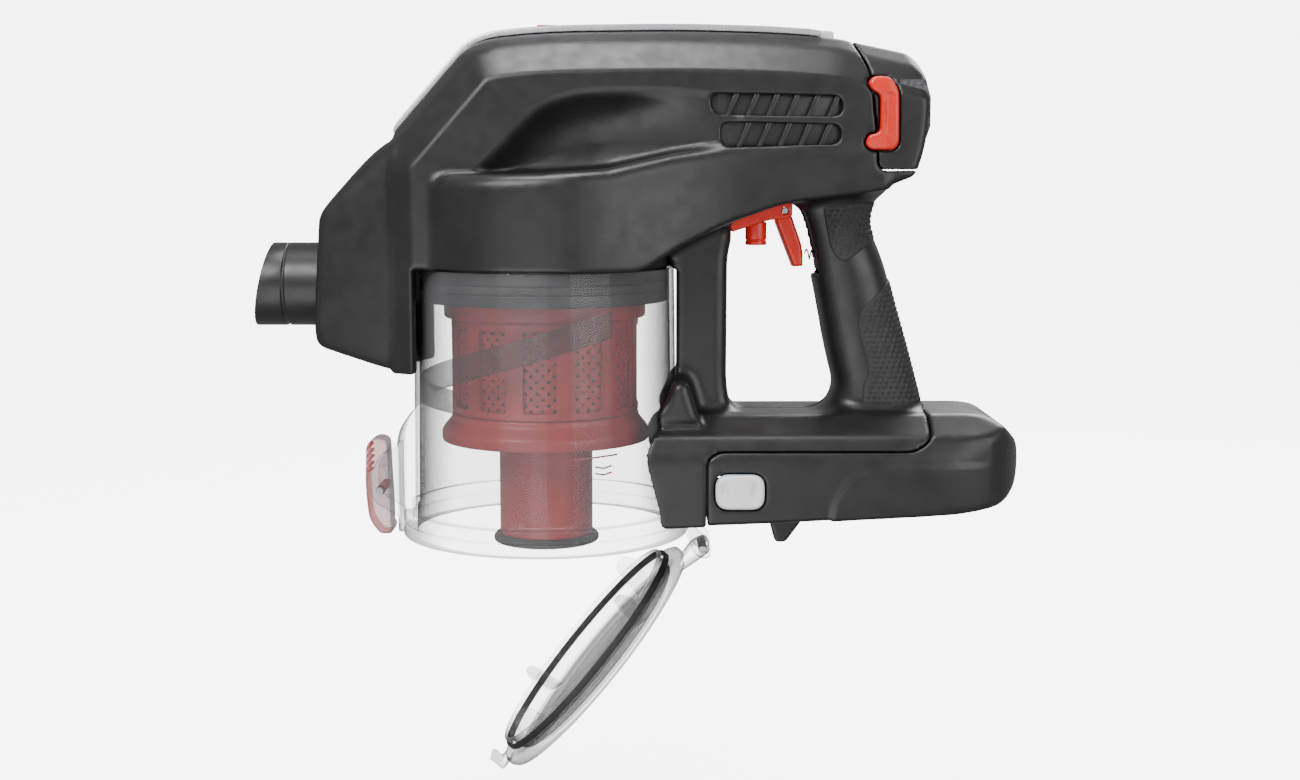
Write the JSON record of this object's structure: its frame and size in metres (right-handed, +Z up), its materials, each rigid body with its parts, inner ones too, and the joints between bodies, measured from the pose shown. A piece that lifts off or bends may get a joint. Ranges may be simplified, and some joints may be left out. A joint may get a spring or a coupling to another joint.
{
  "type": "handheld vacuum cleaner",
  "caption": "Cordless handheld cyclonic vacuum with a clear dust cup, hinged bin flap, loop handle with trigger and a slide-off battery base.",
  "frame": {"origin": "centre of the hand grip, on the plane between the left and right shells", "axes": "+Z up, -X towards the nozzle, -Y towards the left shell"},
  "size_m": [0.3404, 0.1288, 0.3373],
  "materials": {
    "charcoal": "fine satin moulded",
    "silver": "silver painted",
    "orange_red": "satin",
    "deep_red": "satin",
    "clear": "clear moulded plastic",
    "clear_red": "tinted clear plastic",
    "rubber": "matt",
    "white": "gloss",
    "steel": "turned",
    "board": "lacquered board",
    "foam": "open foam",
    "paper": "pleated paper",
    "wrap": "shrink wrap"
  },
  "bodies": {
    "root": {"housing_left": "charcoal", "housing_right": "charcoal", "top_cover": "silver", "inlet_tube": "charcoal", "inlet_duct": "charcoal", "duct_gasket": "rubber", "cup_collar": "charcoal", "cup_seal": "rubber", "pre_motor_filter": "foam", "motor_bulkhead": "charcoal", "motor_mount": "rubber", "motor_can": "steel", "fan_shroud": "charcoal", "control_board": "board", "grip_frame_left": "charcoal", "grip_frame_right": "charcoal", "grip_pad_upper": "rubber", "grip_pad_lower": "rubber", "trigger_plate": "orange_red", "microswitch": "charcoal", "trigger_pin": "steel", "trigger_spring": "steel", "battery_contacts": "board"},
    "rotor": {"rotor_shaft": "steel", "fan_impeller": "white"},
    "trigger": {"trigger": "orange_red"},
    "lock_button": {"lock_button": "orange_red"},
    "power_button": {"power_button": "orange_red"},
    "boost_button": {"boost_button": "white"},
    "rear_cap": {"rear_cap": "charcoal", "exhaust_filter": "foam"},
    "rear_latch_left": {"rear_latch_left": "orange_red"},
    "rear_latch_right": {"rear_latch_right": "orange_red"},
    "battery": {"battery_case": "charcoal", "battery_lid": "charcoal", "battery_cell_1": "wrap", "battery_cell_2": "wrap", "battery_cell_3": "wrap", "battery_cell_4": "wrap", "battery_cell_5": "wrap", "battery_cell_6": "wrap", "battery_board": "board", "dock_hook": "charcoal"},
    "release_button_left": {"release_button_left": "white"},
    "release_button_right": {"release_button_right": "white"},
    "dust_cup": {"dust_cup": "clear", "cup_vane": "clear_red", "flap_hinge_pin": "steel", "latch_pin": "steel"},
    "cyclone_filter": {"cyclone_shroud": "deep_red", "filter_mesh": "deep_red", "cyclone_skirt": "deep_red", "dust_tube": "deep_red", "tube_seal": "rubber", "filter_cartridge": "paper"},
    "cup_flap": {"cup_flap": "clear", "flap_seal": "rubber"},
    "cup_latch": {"cup_latch": "clear_red"}
  },
  "joints": [
    {"name": "motor_spin", "type": "hinge", "parent": "root", "child": "rotor", "pos_m": [-0.045, 0, 0.082], "axis": [1, 0, 0], "continuous": true},
    {"name": "trigger_pull", "type": "hinge", "parent": "root", "child": "trigger", "pos_m": [-0.035, 0, 0.042], "axis": [0, -1, 0], "range_deg": [0, 12], "stiffness_Nm_per_rad": 0.6, "springref_deg": -11.46, "deforming": ["trigger_spring"]},
    {"name": "lock_press", "type": "slide", "parent": "root", "child": "lock_button", "axis": [0, 0, 1], "range_m": [0, 0.003], "stiffness_N_per_m": 250, "springref_m": -0.001},
    {"name": "power_press", "type": "slide", "parent": "root", "child": "power_button", "axis": [0, 0, -1], "range_m": [0, 0.0012], "stiffness_N_per_m": 400, "springref_m": -0.001},
    {"name": "boost_press", "type": "slide", "parent": "root", "child": "boost_button", "axis": [0, 0, -1], "range_m": [0, 0.0012], "stiffness_N_per_m": 400, "springref_m": -0.001},
    {"name": "rear_cap_pull", "type": "slide", "parent": "root", "child": "rear_cap", "axis": [1, 0, 0], "range_m": [0, 0.05]},
    {"name": "rear_latch_left_press", "type": "slide", "parent": "rear_cap", "child": "rear_latch_left", "axis": [0, 1, 0], "range_m": [0, 0.002], "stiffness_N_per_m": 400, "springref_m": -0.001},
    {"name": "rear_latch_right_press", "type": "slide", "parent": "rear_cap", "child": "rear_latch_right", "axis": [0, -1, 0], "range_m": [0, 0.002], "stiffness_N_per_m": 400, "springref_m": -0.001},
    {"name": "battery_slide", "type": "slide", "parent": "root", "child": "battery", "axis": [1, 0, 0], "range_m": [0, 0.145]},
    {"name": "release_left_press", "type": "slide", "parent": "battery", "child": "release_button_left", "axis": [0, 1, 0], "range_m": [0, 0.0022], "stiffness_N_per_m": 400, "springref_m": -0.001},
    {"name": "release_right_press", "type": "slide", "parent": "battery", "child": "release_button_right", "axis": [0, -1, 0], "range_m": [0, 0.0022], "stiffness_N_per_m": 400, "springref_m": -0.001},
    {"name": "cup_drop", "type": "slide", "parent": "root", "child": "dust_cup", "axis": [0, 0, -1], "range_m": [0, 0.13]},
    {"name": "filter_twist", "type": "hinge", "parent": "dust_cup", "child": "cyclone_filter", "pos_m": [-0.1415, 0, 0], "axis": [0, 0, 1], "range_deg": [0, 30]},
    {"name": "flap_hinge", "type": "hinge", "parent": "dust_cup", "child": "cup_flap", "pos_m": [-0.0707, 0, -0.1098], "axis": [0, 1, 0], "range_deg": [0, 50]},
    {"name": "latch_hinge", "type": "hinge", "parent": "dust_cup", "child": "cup_latch", "pos_m": [-0.2156, 0, -0.083], "axis": [0, 1, 0], "range_deg": [0, 12], "stiffness_Nm_per_rad": 0.3, "springref_deg": -11.46}
  ]
}
